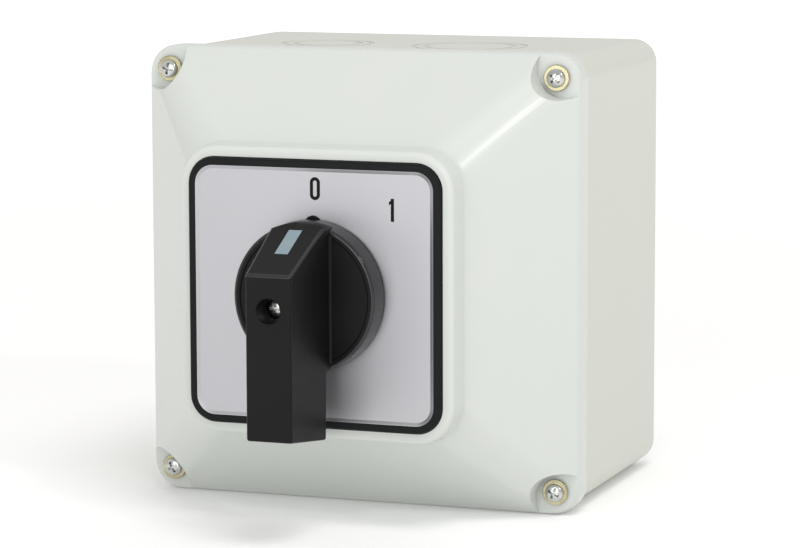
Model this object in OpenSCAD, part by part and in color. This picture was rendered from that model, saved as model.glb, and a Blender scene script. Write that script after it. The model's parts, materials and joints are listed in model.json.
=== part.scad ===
// Surface-mounted rotary isolator: a moulded box with a pyramid-shaped lid, a square dial and a lever
// handle that turns a four-pole cam switch hung behind the lid.
// Frame: the origin is the centre of the wall face, +Z is up and the front faces -Y. Millimetres.

/* [Box] */
// Width of the lid over its skirt
lid_w = 154.7; // [150:0.1:190]
// Height of the lid over its skirt
lid_h = 154.7; // [150:0.1:190]
// Outside corner radius of the lid
lid_r = 9.5; // [8:0.1:12]
// Depth of the box from the wall face to the lid seam
box_d = 88.2; // [85:0.1:120]
// Wall thickness of the box
box_wall = 3; // [2.6:0.1:3.4]
// Thickness of the box floor
box_floor = 3.2; // [2.5:0.1:5]
// How far the lid skirt overhangs the box on each side
overhang = 1.4; // [1:0.1:1.6]

/* [Lid] */
// Depth of the lid skirt
skirt_d = 8.3; // [7:0.1:12]
// Rise of the sloping faces from the skirt to the platform
pyramid_h = 33.3; // [25:0.1:40]
// Width of the platform's border round the dial frame, at its foot
platform_border = 4.4; // [3:0.1:8]
// Corner radius of the platform at its foot
platform_r = 13.5; // [10:0.1:16]
// Height of the platform above the sloping faces
platform_h = 10.4; // [6:0.1:14]
// Draft of the platform on each side
platform_draft = 0.7; // [0.3:0.1:1.5]
// Rounding of the platform's front edge
platform_edge = 1.4; // [0.5:0.1:2.5]
// Wall thickness behind the platform face
platform_wall = 3.2; // [2.6:0.1:4.5]
// Thickness of the sloping walls, measured straight across
slope_wall = 3.6; // [3:0.1:5]

/* [Lid seal and screws] */
// Thickness of the tongue on the box rim
tongue_t = 1.6; // [1.2:0.1:1.6]
// Height of the tongue on the box rim
tongue_h = 2.5; // [1.5:0.1:3.5]
// Clearance on each side of the tongue
tongue_gap = 0.2; // [0.15:0.05:0.3]
// Height of the gasket in its groove
gasket_h = 2; // [1.5:0.1:3]
// Distance of each lid screw from the lid's edges
screw_inset = 8.05; // [7.8:0.05:9]
// Radius of the lid screw shank
lid_screw_r = 2.5; // [2:0.1:2.5]
// Length of the lid screw under its head
lid_screw_len = 20; // [16:1:24]
// Radius of the lid screw head
lid_head_r = 4.4; // [4:0.1:5]
// Height of the lid screw head
lid_head_h = 2.5; // [2:0.1:3.5]
// Radius of the pocket round each lid screw
pocket_r = 9.9; // [9:0.1:10.5]
// Distance of the pocket's axis outwards from the screw's axis
pocket_shift = 3.1; // [2.5:0.1:3.5]
// Thickness of the wall behind the pocket
pocket_wall = 1.8; // [1.5:0.1:2.5]
// Height of the pocket floor above the skirt
pocket_floor = 0.6; // [0:0.1:2]
// Thickness of the sealing ring under the lid screw head
screw_seal_t = 0.8; // [0.5:0.1:1.5]
// Radius of the corner posts in the box
post_r = 6; // [5:0.1:6.5]
// Outside radius of the brass insert in each post
insert_r = 3.5; // [3.2:0.1:4]
// Length of the brass insert
insert_len = 12; // [10:0.5:16]

/* [Wall fixing and cable entries] */
// Radius of the wall fixing holes
wall_hole_r = 2.6; // [2:0.1:3.2]
// Distance between wall fixing holes across the width
wall_hole_x = 110; // [90:1:112]
// Distance between wall fixing holes up the height
wall_hole_z = 110; // [90:1:112]
// Radius of the boss round each wall fixing hole
wall_boss_r = 6; // [5:0.1:8]
// Height of the boss round each wall fixing hole
wall_boss_h = 3; // [1:0.1:5]
// Radius of the smaller knockout's outer ring
entry_small_r = 16.25; // [12.5:0.25:17]
// Radius of the larger knockout's outer ring
entry_large_r = 20.25; // [16:0.25:20.5]
// Distance of the smaller knockout left of the middle
entry_small_x = 28.5; // [24:0.5:36]
// Distance of the larger knockout right of the middle
entry_large_x = 24; // [22:0.5:32]
// How far the knockouts lie in front of the middle of the box depth
entry_ahead = 9.4; // [0:0.1:15]
// Width of the thin ring round a knockout
entry_groove_w = 1.2; // [0.8:0.1:2]
// Depth of the thin ring round a knockout
entry_groove_d = 0.6; // [0.4:0.1:1.5]

/* [Dial] */
// Width of the square black frame
frame_w = 88; // [84:0.5:106]
// Corner radius of the frame
frame_r = 8.7; // [6:0.1:10]
// Width of the frame's face
frame_rim = 2.5; // [2:0.1:4]
// Thickness of the frame's floor under the dial
frame_floor = 0.5; // [0.4:0.1:1]
// How far the frame stands out of the platform
frame_proud = 1.5; // [1.3:0.1:2.5]
// How far the gasket shows round the frame
gasket_show = 0.35; // [0.1:0.05:0.6]
// Thickness of the frame gasket
frame_gasket_t = 1; // [0.6:0.1:1.5]
// Thickness of the aluminium dial
dial_t = 0.5; // [0.4:0.1:0.6]
// Width of the dial's raised sloping edge
dial_edge_w = 1.1; // [0.6:0.1:2]
// Height of the dial's raised sloping edge
dial_edge_h = 0.4; // [0.2:0.1:0.5]
// Height of the numerals
numeral_h = 7.5; // [5:0.1:9]
// Width of the nought
numeral_w = 3.5; // [2.5:0.1:5]
// Stroke width of the numerals
stroke = 1.1; // [0.6:0.1:1.5]
// Distance of the nought above the dial's centre
nought_z = 34.9; // [32:0.1:36]
// Distance of the nought to the right of the dial's centre
nought_x = 0.7; // [0:0.1:2]
// Distance of the one to the right of the dial's centre
one_x = 27.5; // [24:0.1:33]
// Distance of the one above the dial's centre
one_z = 28.8; // [24:0.1:33]
// Distance of each dial screw from the centre
dial_screw_z = 22.9; // [20:0.1:27]
// Radius of the dial screw head
dial_head_r = 2.9; // [2.5:0.1:3.2]

/* [Handle] */
// Radius of the handle's disc next to the dial
disc_r = 25; // [22:0.1:30]
// Thickness of the disc
disc_t = 8.1; // [6:0.1:12]
// Taper of the disc's side wall
disc_draft = 0.6; // [0.2:0.1:1]
// Gap between the disc and the dial
disc_gap = 1; // [0.6:0.1:2]
// Distance from the disc's face to the front of the lever
lever_d = 30.3; // [28:0.1:36]
// Width of the lever at its front
lever_w = 15.5; // [13:0.1:18]
// Draft angle of the lever's sides
lever_draft = 3.1; // [1:0.1:5]
// Length of the lever's front below the axis
lever_low = 42; // [36:0.1:50]
// How much longer the lever is at its back than at its front
lever_heel = 3.4; // [0:0.1:5]
// Height of the lever's front above the axis
lever_high = 11.5; // [8:0.1:14]
// Gap between the lever and the disc's face below the disc
lever_gap = 3.5; // [1:0.1:5]
// Width of the indicator on the lever's slope
mark_w = 4.6; // [3:0.1:6]
// Length of the indicator along the slope
mark_l = 14.2; // [10:0.1:16]
// Thickness of the indicator
mark_t = 0.8; // [0.5:0.1:1.5]
// Radius of the screw well in the lever's front
well_r = 4; // [3.8:0.1:5]
// Depth of the screw well
well_d = 9.6; // [8:0.1:14]
// Thickness of the web between the screw well and the shaft
web_t = 5; // [3:0.1:7]

/* [Switch] */
// Width of the switch housings
switch_w = 68; // [56:0.5:72]
// Height of the switch housings
switch_h = 76; // [76:0.5:80]
// Depth of the detent housing
detent_d = 20; // [19:0.5:24]
// Depth of each contact stage
stage_d = 20; // [18:0.5:22]
// Thickness of each stage's partition
stage_floor = 2.5; // [2:0.1:3.5]
// Thickness of the end plate
end_t = 4; // [3:0.5:6]
// Width of the square shaft
shaft_w = 8; // [7:0.1:9.6]
// How far the shaft's round front journal stands out past the corners of its square
journal_land = 0.35; // [0.1:0.05:1]
// Wall of the cam hubs over the corners of the square shaft
hub_wall = 3.35; // [2:0.05:4]
// Travel of the contacts for each radian that the handle turns
lift_rate = 3.8; // [3:0.1:3.8]
// Angle between the two positions of the handle
throw_angle = 45; // [30:1:45]
// Distance of the follower's centre from the axis in the off position
follower_z = 20; // [19.5:0.1:20.5]
// Radius of the follower's foot
follower_r = 3; // [2.5:0.1:3.2]
// Radius of the tie bolts
tie_r = 2; // [1.5:0.1:2.2]
// Running clearance between a shaft or hub and its bore
run_gap = 0.05; // [0.02:0.01:0.08]
// Sliding and assembly clearance of other parts
fit_gap = 0.1; // [0.05:0.01:0.15]

/* [Hidden] */
$fn = 64;
HULL_FN = 32;
EPS = 0.01;

// Colours
GREY = "#dde0dc";
BLACK = "#202022";
CHARCOAL = "#343638";
STEEL = "#c9c6b4";
BRASS = "#c8a552";
ALU = "#d2d2d6";
RUBBER = "#141414";
SWITCH = "#c9c4b4";

PLATFORM_W = frame_w + 2 * platform_border;

// Planes along Y, from the wall forwards
Y_SEAM = -box_d;
Y_RIM = Y_SEAM - skirt_d;
Y_FOOT = Y_RIM - pyramid_h;
Y_FACE = Y_FOOT - platform_h;
Y_BACK_OF_FACE = Y_FACE + platform_wall;
Y_POCKET = Y_RIM - pocket_floor;
Y_DIAL_SEAT = Y_FACE - frame_floor;
Y_DIAL = Y_DIAL_SEAT - dial_t;
Y_FRAME = Y_FACE - frame_proud;
Y_DISC = Y_DIAL - disc_gap;
Y_DISC_FACE = Y_DISC - disc_t;
Y_LEVER = Y_DISC_FACE - lever_d;
Y_WELL = Y_LEVER + well_d;
Y_SHAFT_END = Y_WELL + web_t;

// Insets from the lid's outline, so that every rim, groove and wall shares its corner centres
TONGUE_OUT = overhang + (box_wall - tongue_t) / 2;
TONGUE_IN = TONGUE_OUT + tongue_t;
GROOVE_OUT = TONGUE_OUT - tongue_gap;
GROOVE_IN = TONGUE_IN + tongue_gap;
GROOVE_WALL = 1.5;
SKIRT_IN = GROOVE_IN + GROOVE_WALL;
BOX_IN = overhang + box_wall;
SCREW_X = lid_w / 2 - screw_inset;
SCREW_Z = lid_h / 2 - screw_inset;
POCKET_FLARE = 1;
POCKET_REACH = 20;
LID_SCREW_HOLE_R = lid_screw_r + 0.3;
POST_CLEARANCE = 0.5;
SCREW_SEAL_R = lid_head_r - 0.5;

// Knockouts and earth terminal
ENTRY_RING_STEP = 4;
EARTH_W = 22;
EARTH_H = 9;
EARTH_PAD = 4;
EARTH_PAD_BORDER = 3;
EARTH_Z = -46;
EARTH_SCREW_R = 1.9;
EARTH_WIRE_R = 2.2;
EARTH_WIRE_X = 7;

// Handle
DISC_TOP_R = disc_r - disc_draft;
SLOPE_Y = Y_DISC_FACE - lever_gap;
SLOPE_RUN = SLOPE_Y - Y_LEVER;
SLOPE_DROP = DISC_TOP_R - lever_high;
SLOPE_ANGLE = atan2(SLOPE_DROP, SLOPE_RUN);
SLOPE_LEN = sqrt(SLOPE_RUN * SLOPE_RUN + SLOPE_DROP * SLOPE_DROP);
HANDLE_SCREW_R = 2;
HANDLE_SCREW_LEN = 14;
HANDLE_HEAD_R = 3.5;
WASHER_T = 0.8;
HANDLE_WALL = 2.5;
HANDLE_BOSS_R = 11;

// Dial
DIAL_W = frame_w - 2 * frame_rim;
DIAL_R = frame_r - frame_rim;
DIAL_HOLE_R = dial_head_r + 0.3;
DIAL_SCREW_R = 1.9;
DIAL_HEAD_D = 1.8;
DIAL_SCREW_HOLE_R = DIAL_SCREW_R + 0.2;
PRINT_T = 0.05;

// Switch, front to back
DETENT_FLOOR = 7;
Y_DETENT = Y_BACK_OF_FACE;
Y_STAGES = Y_DETENT + detent_d;
Y_END = Y_STAGES + 2 * stage_d;
Y_TAIL = Y_END + end_t;
SHAFT_CORNER = shaft_w / sqrt(2);
JOURNAL_R = SHAFT_CORNER + journal_land;
HUB_R = SHAFT_CORNER + hub_wall;
SPIGOT_R = JOURNAL_R + 2.4;
FRONT_SEAL_R = SPIGOT_R + 2.5;
FRONT_SEAL_T = 1.2;
SHAFT_SEAL_R = SPIGOT_R - 0.8;
SHAFT_SEAL_T = 2;
TIE_INSET = 4.5;
TIE_X = switch_w / 2 - TIE_INSET;
TIE_Z = switch_h / 2 - TIE_INSET;
SWITCH_CORNER_R = 3;
STAR_R = 14;
STAR_WAVE = 1;
ROLLER_R = 3;
ROLLER_X = STAR_R + STAR_WAVE + ROLLER_R + fit_gap;
DETENT_BORE_R = STAR_R + STAR_WAVE + 2;
DETENT_SPRING_R = 3.2;
SPRING_WIRE_R = 0.4;
CARRIER_W = 10.8;
SHELL = 3;
CARRIER_END = ROLLER_X + 0.7 * (switch_w / 2 - SHELL - ROLLER_X);
TRAVEL = lift_rate * throw_angle * PI / 180;
PLUNGER_W = 12;
BRIDGE_Z = follower_z + 5;
BRIDGE_T = 2;
BRIDGE_END_GAP = 12;
BRIDGE_L = switch_w - 2 * BRIDGE_END_GAP;
BRIDGE_W = 10;
TIP_R = 2.2;
TIP_T = 1;
TIP_X = BRIDGE_L / 2 - 3;
SPRING_HOLE_R = 3.9;
CONTACT_SPRING_R = 3;
FIXED_W = 8;
FOLLOWER_W = 8;
CAM_T = 10;
CAM_LEAD = 10;
ROOF_Z = switch_h / 2 - 2;
PLUNGER_TOP = ROOF_Z - TRAVEL;
FIXED_TOP = BRIDGE_Z - TIP_T - TRAVEL - run_gap;
FIXED_T = 2;
FIXED_Z = FIXED_TOP - TIP_T - FIXED_T;
FIXED_IN = TIP_X - TIP_R - 0.4;
BRIDGE_FLOOR = FIXED_Z + FIXED_T;
CHAMBER_R = follower_z + 1.5;
CAGE_X = switch_w / 2 + 1;
CAGE_L = 10;
CAGE_W = 9.5;
CAGE_WALL = 1.4;
CAGE_SIDE = 0.7;
CAGE_DROP = 4;
CAGE_RISE = 3;
CAGE_LOW = FIXED_Z - CAGE_DROP - CAGE_WALL;
CAGE_HIGH = FIXED_Z + FIXED_T + CAGE_RISE + CAGE_WALL;
TERMINAL_SCREW_R = 2;
TERMINAL_SCREW_UP = 1.2;
FOOT_POCKET_Z = 12;
BRIDGE_HEADROOM = 1.5;
BRIDGE_ROOF = BRIDGE_Z + BRIDGE_T + BRIDGE_HEADROOM;

// ---- Shared shapes ----

// A flat outline drawn in X and Z, given its thickness from y_back forwards to y_front
module slab(y_back, y_front)
    translate([0, y_back, 0]) rotate([90, 0, 0]) linear_extrude(y_back - y_front) children();

// A round bar along Y
module rod(r, y_back, y_front, x = 0, z = 0)
    translate([x, y_back, z]) rotate([90, 0, 0]) cylinder(h = y_back - y_front, r = r);

// A cone along Y
module cone(r_back, r_front, y_back, y_front, x = 0, z = 0)
    translate([x, y_back, z]) rotate([90, 0, 0]) cylinder(h = y_back - y_front, r1 = r_back, r2 = r_front);

// A block given by its lowest and highest corners
module block(low, high) translate(low) cube(high - low);

module rounded(w, h, r) {
    square([w - 2 * r, h], center = true);
    square([w, h - 2 * r], center = true);
    for (x = [-1, 1], z = [-1, 1]) translate([x * (w / 2 - r), z * (h / 2 - r)]) circle(r);
}

// The lid's outline drawn in by an inset, with its corners on the same centres
module lid_outline(inset) rounded(lid_w - 2 * inset, lid_h - 2 * inset, lid_r - inset);

module lid_ring(inset_out, inset_in) difference() {
    lid_outline(inset_out);
    lid_outline(inset_in);
}

module at_corners(x, z) for (sx = [-1, 1], sz = [-1, 1]) translate([sx * x, 0, sz * z]) children();

module cross_recess(span, width, depth)
    for (a = [0, 90]) rotate([0, 0, a])
        translate([-span / 2, -width / 2, -depth]) cube([span, width, depth + EPS]);

// A screw along Z: the underside of its domed head at 0, its shank below
module pan_screw(head_r, head_h, shank_r, length) difference() {
    union() {
        rotate_extrude() polygon([[0, 0], [head_r, 0], [head_r, 0.45 * head_h], [0.9 * head_r, 0.75 * head_h],
            [0.66 * head_r, 0.96 * head_h], [0.4 * head_r, head_h], [0, head_h]]);
        translate([0, 0, -length]) cylinder(h = length + EPS, r = shank_r);
    }
    translate([0, 0, head_h]) cross_recess(1.15 * head_r, 0.2 * head_r, 0.55 * head_h);
}

// Points of a closed coil of round wire along Z
function coil_ring(angle, rise, coil_r, wire_r, sides) = [for (s = [0:sides - 1])
    let (r = coil_r + wire_r * cos(360 * s / sides))
    [r * cos(angle), r * sin(angle), rise + wire_r * sin(360 * s / sides)]];

module coil_spring(length, coil_r, wire_r, turns) {
    sides = 6;
    steps = 10 * turns;
    pitch = length - 2 * wire_r;
    points = [for (i = [0:steps]) each
        coil_ring(36 * i, wire_r + pitch * i / steps, coil_r, wire_r, sides)];
    skin = [for (i = [0:steps - 1], s = [0:sides - 1]) let (t = (s + 1) % sides)
        [i * sides + s, (i + 1) * sides + s, (i + 1) * sides + t, i * sides + t]];
    polyhedron(points, concat([[for (s = [0:sides - 1]) s]], skin,
        [[for (s = [0:sides - 1]) steps * sides + sides - 1 - s]]));
}

// ---- Box ----

module entry_ring(r, x, z) translate([x, Y_SEAM / 2 - entry_ahead, z]) difference() {
    cylinder(h = entry_groove_d + EPS, r = r);
    translate([0, 0, -1]) cylinder(h = 3, r = r - entry_groove_w);
}

// The knockout rings cut into a face whose outside is at the height z
module entry_rings(z) for (ring = [0, ENTRY_RING_STEP]) {
    entry_ring(entry_small_r - ring, -entry_small_x, z);
    entry_ring(entry_large_r - ring, entry_large_x, z);
}

module base_box() color(GREY) difference() {
    union() {
        difference() {
            slab(0, Y_SEAM) lid_outline(overhang);
            slab(-box_floor, Y_SEAM - 1) lid_outline(BOX_IN);
        }
        slab(Y_SEAM + EPS, Y_SEAM - tongue_h) lid_ring(TONGUE_OUT, TONGUE_IN);
        intersection() {
            at_corners(SCREW_X, SCREW_Z) rod(post_r, -1, Y_SEAM);
            slab(0, Y_SEAM) lid_outline(overhang);
        }
        at_corners(wall_hole_x / 2, wall_hole_z / 2) rod(wall_boss_r, -1, -box_floor - wall_boss_h);
        block([-EARTH_W / 2 - EARTH_PAD_BORDER, -box_floor - EARTH_PAD, EARTH_Z - EARTH_H],
            [EARTH_W / 2 + EARTH_PAD_BORDER, -1, EARTH_Z + EARTH_H]);
    }
    at_corners(SCREW_X, SCREW_Z) rod(insert_r, Y_SEAM + insert_len, Y_SEAM - 1);
    at_corners(wall_hole_x / 2, wall_hole_z / 2) rod(wall_hole_r, 1, -box_floor - wall_boss_h - 1);
    rod(EARTH_SCREW_R, -1.5, -box_floor - EARTH_PAD - 1, 0, EARTH_Z);
    entry_rings(lid_h / 2 - overhang - entry_groove_d);
    mirror([0, 0, 1]) entry_rings(lid_h / 2 - overhang - entry_groove_d);
}

module post_inserts() color(BRASS) at_corners(SCREW_X, SCREW_Z) difference() {
    rod(insert_r, Y_SEAM + insert_len, Y_SEAM);
    rod(lid_screw_r + run_gap, Y_SEAM + insert_len + 1, Y_SEAM - 1);
}

// A brass block on the box floor for the protective conductors
module earth_terminal() color(BRASS) difference() {
    block([-EARTH_W / 2, -box_floor - EARTH_PAD - EARTH_H, EARTH_Z - EARTH_H / 2],
        [EARTH_W / 2, -box_floor - EARTH_PAD, EARTH_Z + EARTH_H / 2]);
    rod(EARTH_SCREW_R + fit_gap, 0, -box_floor - EARTH_PAD - EARTH_H - 1, 0, EARTH_Z);
    for (x = [-EARTH_WIRE_X, EARTH_WIRE_X])
        translate([x, -box_floor - EARTH_PAD - EARTH_H / 2, EARTH_Z - EARTH_H])
            cylinder(h = 2 * EARTH_H, r = EARTH_WIRE_R);
}

module earth_screw() color(STEEL) translate([0, -box_floor - EARTH_PAD - EARTH_H, EARTH_Z]) rotate([90, 0, 0])
    pan_screw(3.4, 2.2, EARTH_SCREW_R - run_gap, EARTH_H + EARTH_PAD + 1);

// ---- Lid ----

module lid_sheet(w, h, r, y) slab(y, y - EPS) rounded(w, h, r, $fn = HULL_FN);

module lid_pyramid(across, y_low, y_high) hull() {
    lid_sheet(lid_w - 2 * across, lid_h - 2 * across, lid_r - min(across, SKIRT_IN), y_low);
    lid_sheet(PLATFORM_W - 2 * across, PLATFORM_W - 2 * across, platform_r - across, y_high + EPS);
}

module lid_platform() {
    top_w = PLATFORM_W - 2 * platform_draft;
    hull() {
        lid_sheet(PLATFORM_W, PLATFORM_W, platform_r, Y_FOOT + EPS);
        lid_sheet(top_w, top_w, platform_r - platform_draft, Y_FACE + platform_edge);
        lid_sheet(top_w - 0.6 * platform_edge, top_w - 0.6 * platform_edge,
            platform_r - platform_draft - 0.3 * platform_edge, Y_FACE + 0.3 * platform_edge);
        lid_sheet(top_w - 2 * platform_edge, top_w - 2 * platform_edge,
            platform_r - platform_draft - platform_edge, Y_FACE + EPS);
    }
}

// The four corner pockets, grown all round by a wall
module lid_pockets(wall = 0) at_corners(SCREW_X + pocket_shift, SCREW_Z + pocket_shift)
    cone(pocket_r + wall, pocket_r + POCKET_FLARE + wall, Y_POCKET + wall, Y_POCKET - POCKET_REACH);

module lid_hollow() difference() {
    union() {
        slab(Y_SEAM + 1, Y_RIM) lid_outline(SKIRT_IN);
        lid_pyramid(SKIRT_IN, Y_RIM + EPS, Y_FOOT + slope_wall / 2);
        slab(Y_FOOT + 3, Y_BACK_OF_FACE) rounded(PLATFORM_W - 2 * SKIRT_IN, PLATFORM_W - 2 * SKIRT_IN,
            platform_r - SKIRT_IN);
    }
    at_corners(SCREW_X, SCREW_Z) rod(post_r + POST_CLEARANCE, Y_SEAM + 2, Y_POCKET);
    lid_pockets(pocket_wall);
}

module lid() color(GREY) difference() {
    union() {
        slab(Y_SEAM, Y_RIM) lid_outline(0);
        lid_pyramid(0, Y_RIM + EPS, Y_FOOT);
        lid_platform();
    }
    lid_hollow();
    slab(Y_SEAM + 1, Y_SEAM - tongue_h - gasket_h) lid_ring(GROOVE_OUT, GROOVE_IN);
    lid_pockets();
    at_corners(SCREW_X, SCREW_Z) rod(LID_SCREW_HOLE_R, Y_SEAM + 1, Y_POCKET - 1);
    slab(Y_FACE + frame_gasket_t, Y_FACE - 1) frame_gasket_outline();
    rod(SPIGOT_R + fit_gap, Y_BACK_OF_FACE + 1, Y_FACE - 1);
    for (z = [-1, 1]) {
        rod(DIAL_SCREW_HOLE_R, Y_BACK_OF_FACE + 1, Y_FACE - 1, 0, z * dial_screw_z);
        cone(DIAL_SCREW_HOLE_R, dial_head_r + 0.2, Y_FACE + DIAL_HEAD_D - frame_floor, Y_FACE - EPS,
            0, z * dial_screw_z);
    }
}

module lid_gasket() color(RUBBER)
    slab(Y_SEAM - tongue_h, Y_SEAM - tongue_h - gasket_h) lid_ring(GROOVE_OUT, GROOVE_IN);

module lid_screws() color(STEEL) at_corners(SCREW_X, SCREW_Z)
    translate([0, Y_POCKET - screw_seal_t, 0]) rotate([90, 0, 0])
        pan_screw(lid_head_r, lid_head_h, lid_screw_r, lid_screw_len);

module lid_screw_seals() color(RUBBER) at_corners(SCREW_X, SCREW_Z) difference() {
    rod(SCREW_SEAL_R, Y_POCKET, Y_POCKET - screw_seal_t);
    rod(lid_screw_r + fit_gap, Y_POCKET + 1, Y_POCKET - 2);
}

// ---- Dial ----

module frame_gasket_outline() difference() {
    rounded(frame_w + 2 * gasket_show, frame_w + 2 * gasket_show, frame_r + gasket_show);
    rounded(DIAL_W, DIAL_W, DIAL_R);
}

module frame_gasket() color(RUBBER) slab(Y_FACE + frame_gasket_t, Y_FACE) frame_gasket_outline();

// The centre hole and the two screw holes that the frame and the dial share
module dial_holes(screw_hole_r) {
    rod(SPIGOT_R + fit_gap, Y_FACE + 1, Y_FRAME - 1);
    for (z = [-1, 1]) rod(screw_hole_r, Y_FACE + 1, Y_FRAME - 1, 0, z * dial_screw_z);
}

module dial_frame() color(CHARCOAL) difference() {
    slab(Y_FACE, Y_FRAME) rounded(frame_w, frame_w, frame_r);
    slab(Y_DIAL_SEAT, Y_FRAME - 1) rounded(DIAL_W, DIAL_W, DIAL_R);
    dial_holes(dial_head_r + fit_gap);
}

module dial_plate() color(ALU) difference() {
    slab(Y_DIAL_SEAT, Y_DIAL - dial_edge_h) rounded(DIAL_W, DIAL_W, DIAL_R);
    hull() {
        lid_sheet(DIAL_W - 2 * dial_edge_w, DIAL_W - 2 * dial_edge_w, DIAL_R - dial_edge_w, Y_DIAL);
        lid_sheet(DIAL_W - 0.3, DIAL_W - 0.3, DIAL_R - 0.15, Y_DIAL - dial_edge_h);
    }
    dial_holes(DIAL_HOLE_R);
}

// An upright bar with round ends
module stadium(w, h) {
    square([w, h - w], center = true);
    for (s = [-1, 1]) translate([0, s * (h - w) / 2]) circle(w / 2);
}

module nought() difference() {
    stadium(numeral_w, numeral_h);
    stadium(numeral_w - 2 * stroke, numeral_h - 2 * stroke);
}

module one() {
    translate([-stroke / 2, -numeral_h / 2]) square([stroke, numeral_h]);
    polygon([[0, numeral_h / 2], [-1.1 * stroke, 0.34 * numeral_h], [-1.1 * stroke, 0.21 * numeral_h],
        [0, 0.32 * numeral_h]]);
}

module dial_numerals() color(BLACK) slab(Y_DIAL, Y_DIAL - PRINT_T) {
    translate([nought_x, nought_z]) nought();
    translate([one_x, one_z]) one();
}

module dial_screws() color(STEEL) for (z = [-1, 1]) difference() {
    union() {
        cone(DIAL_SCREW_R, dial_head_r, Y_DIAL_SEAT + DIAL_HEAD_D, Y_DIAL_SEAT, 0, z * dial_screw_z);
        rod(DIAL_SCREW_R, Y_DETENT + DETENT_FLOOR - 1, Y_DIAL_SEAT + 1, 0, z * dial_screw_z);
    }
    translate([0, Y_DIAL_SEAT, z * dial_screw_z]) rotate([90, 0, 0]) cross_recess(3.6, 0.8, 1);
}

// ---- Handle ----

module disc() translate([0, Y_DISC, 0]) rotate([90, 0, 0]) rotate_extrude() polygon([
    [0, 0], [disc_r - 0.5, 0], [disc_r, 0.5], [DISC_TOP_R + 0.05, disc_t - 1.2], [DISC_TOP_R - 0.35, disc_t - 0.35],
    [DISC_TOP_R - 1.2, disc_t], [DISC_TOP_R - 2.2, disc_t], [DISC_TOP_R - 2.6, disc_t - 0.25], [0, disc_t - 0.25]]);

// The lever's outline seen from the side, in Y and Z, before the disc's round outline trims its top
module lever_side() polygon([
    [Y_DISC_FACE + 1, disc_r], [Y_DISC_FACE, DISC_TOP_R + lever_gap * tan(SLOPE_ANGLE)],
    [Y_LEVER, lever_high], [Y_LEVER, -lever_low], [SLOPE_Y, -lever_low - lever_heel],
    [SLOPE_Y, -DISC_TOP_R + 1], [Y_DISC_FACE + 1, -DISC_TOP_R + 1]]);

// The lever's outline seen from above, in X and Y
module lever_plan() {
    back = Y_DISC_FACE + 1;
    spread = (back - Y_LEVER) * tan(lever_draft);
    polygon([[-lever_w / 2 - spread, back], [-lever_w / 2, Y_LEVER], [lever_w / 2, Y_LEVER],
        [lever_w / 2 + spread, back]]);
}

module lever() intersection() {
    translate([-lever_w, 0, 0]) rotate([90, 0, 90]) linear_extrude(2 * lever_w) lever_side();
    translate([0, 0, -2 * lever_low]) linear_extrude(4 * lever_low) lever_plan();
    union() {
        rod(disc_r - 0.1, Y_DISC, Y_LEVER - 1);
        block([-lever_w, Y_LEVER - 1, -2 * lever_low], [lever_w, Y_DISC, 0]);
    }
}

// Places a shape on the lever's slope: -Y runs down the slope and +Z points out of it
module on_slope() translate([0, SLOPE_Y, DISC_TOP_R]) rotate([SLOPE_ANGLE, 0, 0]) children();

module mark_shape() on_slope() translate([-mark_w / 2, -0.1 * SLOPE_LEN - mark_l, -mark_t])
    cube([mark_w, mark_l, mark_t + EPS]);

module handle() color(BLACK) difference() {
    union() {
        disc();
        lever();
    }
    mark_shape();
    rod(well_r, Y_WELL, Y_LEVER - 1);
    rod(HANDLE_SCREW_R + 0.2, Y_SHAFT_END + 1, Y_WELL - 1);
    block([-shaft_w / 2 - run_gap, Y_SHAFT_END, -shaft_w / 2 - run_gap],
        [shaft_w / 2 + run_gap, Y_DISC + 1, shaft_w / 2 + run_gap]);
    difference() {
        rod(disc_r - HANDLE_WALL, Y_DISC + 1, Y_DISC_FACE + HANDLE_WALL);
        rod(HANDLE_BOSS_R, Y_DISC + 2, Y_DISC_FACE);
    }
    block([-lever_w / 2 + HANDLE_WALL, Y_LEVER + HANDLE_WALL, -lever_low + HANDLE_WALL],
        [lever_w / 2 - HANDLE_WALL, SLOPE_Y + 1, -DISC_TOP_R - HANDLE_WALL]);
}

module indicator() color("#b9c9d2") intersection() {
    mark_shape();
    lever();
}

module handle_screw() color(STEEL) translate([0, Y_WELL - WASHER_T, 0]) rotate([90, 0, 0])
    pan_screw(HANDLE_HEAD_R, 2.4, HANDLE_SCREW_R, HANDLE_SCREW_LEN);

module handle_washer() color(STEEL) difference() {
    rod(well_r - 0.2, Y_WELL, Y_WELL - WASHER_T);
    rod(HANDLE_SCREW_R + fit_gap, Y_WELL + 1, Y_WELL - 2);
}

module drive_shaft() color("#a9abae") difference() {
    union() {
        block([-shaft_w / 2, Y_SHAFT_END, -shaft_w / 2], [shaft_w / 2, Y_END - fit_gap, shaft_w / 2]);
        rod(JOURNAL_R, Y_DETENT + DETENT_FLOOR - 1, Y_DIAL - 0.3);
        rod(shaft_w / 2, Y_TAIL - 1, Y_END - 1);
    }
    rod(HANDLE_SCREW_R + run_gap, Y_SHAFT_END + HANDLE_SCREW_LEN, Y_SHAFT_END - 1);
}

// ---- Detent ----

module switch_outline() rounded(switch_w, switch_h, SWITCH_CORNER_R);

module tie_holes(y_back, y_front) at_corners(TIE_X, TIE_Z) rod(tie_r + fit_gap, y_back, y_front);

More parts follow.
